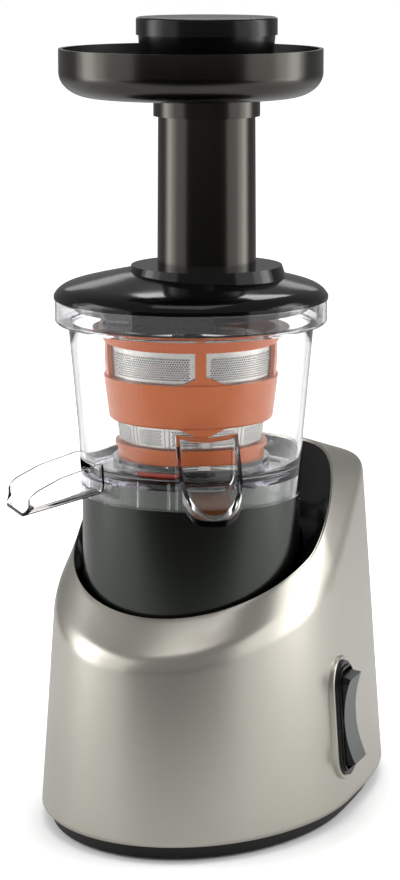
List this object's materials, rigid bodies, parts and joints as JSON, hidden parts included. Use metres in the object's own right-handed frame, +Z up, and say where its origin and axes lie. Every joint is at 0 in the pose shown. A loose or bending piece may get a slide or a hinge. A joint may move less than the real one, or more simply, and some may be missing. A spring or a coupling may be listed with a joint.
{
  "type": "cold press juicer",
  "caption": "Upright slow juicer: oval metal motor base, slanted black recess, dark tower, clear juicing bowl with strainer and spouts, black lid, tall feed tube, round hopper tray and pusher.",
  "frame": {"origin": "on the surface the rubber feet stand on, under the vertical axis of the drive shaft and auger", "axes": "+Z up along the auger's axis, -Y to the front, +X to the side with the rocker switch"},
  "size_m": [0.1755, 0.251, 0.425],
  "materials": {
    "satin_silver": "satin champagne-silver metallic paint",
    "tower_dark": "dark anthracite metallic, semi-gloss",
    "black_gloss": "gloss black plastic",
    "black_matte": "fine-textured black plastic",
    "anthracite": "dark anthracite metallic plastic",
    "grey_plastic": "satin mid grey plastic",
    "clear_plastic": "clear polished plastic",
    "orange_plastic": "satin orange plastic",
    "orange_silicone": "orange-red silicone",
    "black_rubber": "matte black rubber",
    "steel": "bare steel",
    "perforated_steel": "satin stainless sheet",
    "nylon": "natural nylon",
    "bronze": "sintered bronze",
    "core_iron": "stacked iron laminations",
    "zinc_plate": "zinc-plated steel",
    "board_green": "green circuit board"
  },
  "bodies": {
    "base": {"base_plate": "black_matte", "rubber_feet": "black_rubber", "base_screws": "steel", "body_shell": "satin_silver", "recess_liner": "black_gloss", "motor_tower": "tower_dark", "tower_seal": "black_rubber", "gear_plate": "black_matte", "gear_deck": "black_matte", "deck_screws": "steel", "gearbox_cover": "black_matte", "shaft_bearings": "steel", "lay_bushes": "bronze", "motor_can": "zinc_plate", "stator_core": "core_iron", "rotor_bushes": "bronze", "switch_bezel": "black_gloss", "switch_body": "black_matte", "circuit_board": "board_green", "safety_switch": "black_matte", "cord_gland": "black_rubber"},
    "rotor": {"rotor_shaft": "steel", "rotor_core": "core_iron", "motor_pinion": "steel", "cooling_fan": "nylon"},
    "layshaft": {"lay_shaft": "steel", "lay_pinion": "steel", "lay_wheel": "nylon"},
    "drive": {"drive_shaft": "steel", "output_gear": "steel"},
    "rocker": {"rocker_button": "grey_plastic"},
    "bowl": {"juicing_bowl": "clear_plastic", "juice_spout": "clear_plastic", "pulp_spout": "clear_plastic", "pulp_plug": "orange_silicone", "bowl_seal": "black_rubber", "strainer_frame": "orange_plastic", "strainer_foot": "orange_plastic", "mesh_upper": "perforated_steel", "mesh_lower": "perforated_steel"},
    "auger": {"auger_screw": "anthracite", "auger_socket": "steel"},
    "lid": {"lid": "black_gloss", "lid_seal": "black_rubber", "feed_tube": "anthracite"},
    "tray": {"hopper_tray": "anthracite"},
    "pusher": {"pusher_cap": "anthracite", "pusher_shaft": "black_gloss"}
  },
  "joints": [
    {"name": "rotor_spin", "type": "hinge", "parent": "base", "child": "rotor", "pos_m": [0, 0.07, 0.05], "axis": [0, 0, 1], "continuous": true},
    {"name": "layshaft_spin", "type": "hinge", "parent": "base", "child": "layshaft", "pos_m": [0, 0.04, 0.09], "axis": [0, 0, 1], "continuous": true},
    {"name": "drive_spin", "type": "hinge", "parent": "base", "child": "drive", "pos_m": [0, 0, 0.15], "axis": [0, 0, 1], "continuous": true},
    {"name": "rocker_tilt", "type": "hinge", "parent": "base", "child": "rocker", "pos_m": [0.07872, 0.015, 0.05586], "axis": [0, 1, 0], "range_deg": [-12, 12]},
    {"name": "bowl_lift", "type": "slide", "parent": "base", "child": "bowl", "axis": [0, 0, 1], "range_m": [0, 0.06]},
    {"name": "auger_spin", "type": "hinge", "parent": "bowl", "child": "auger", "pos_m": [0, 0, 0.23], "axis": [0, 0, 1], "continuous": true},
    {"name": "lid_turn", "type": "hinge", "parent": "bowl", "child": "lid", "pos_m": [0, 0, 0.28], "axis": [0, 0, 1], "range_deg": [0, 30]},
    {"name": "tray_lift", "type": "slide", "parent": "lid", "child": "tray", "axis": [0, 0, 1], "range_m": [0, 0.03]},
    {"name": "pusher_slide", "type": "slide", "parent": "tray", "child": "pusher", "axis": [0, 0, 1], "range_m": [0, 0.08]}
  ],
  "couplings": [
    {"joint": "layshaft_spin", "follows": "rotor_spin", "ratio": -0.25},
    {"joint": "drive_spin", "follows": "rotor_spin", "ratio": 0.0625},
    {"joint": "auger_spin", "follows": "rotor_spin", "ratio": 0.0625}
  ]
}
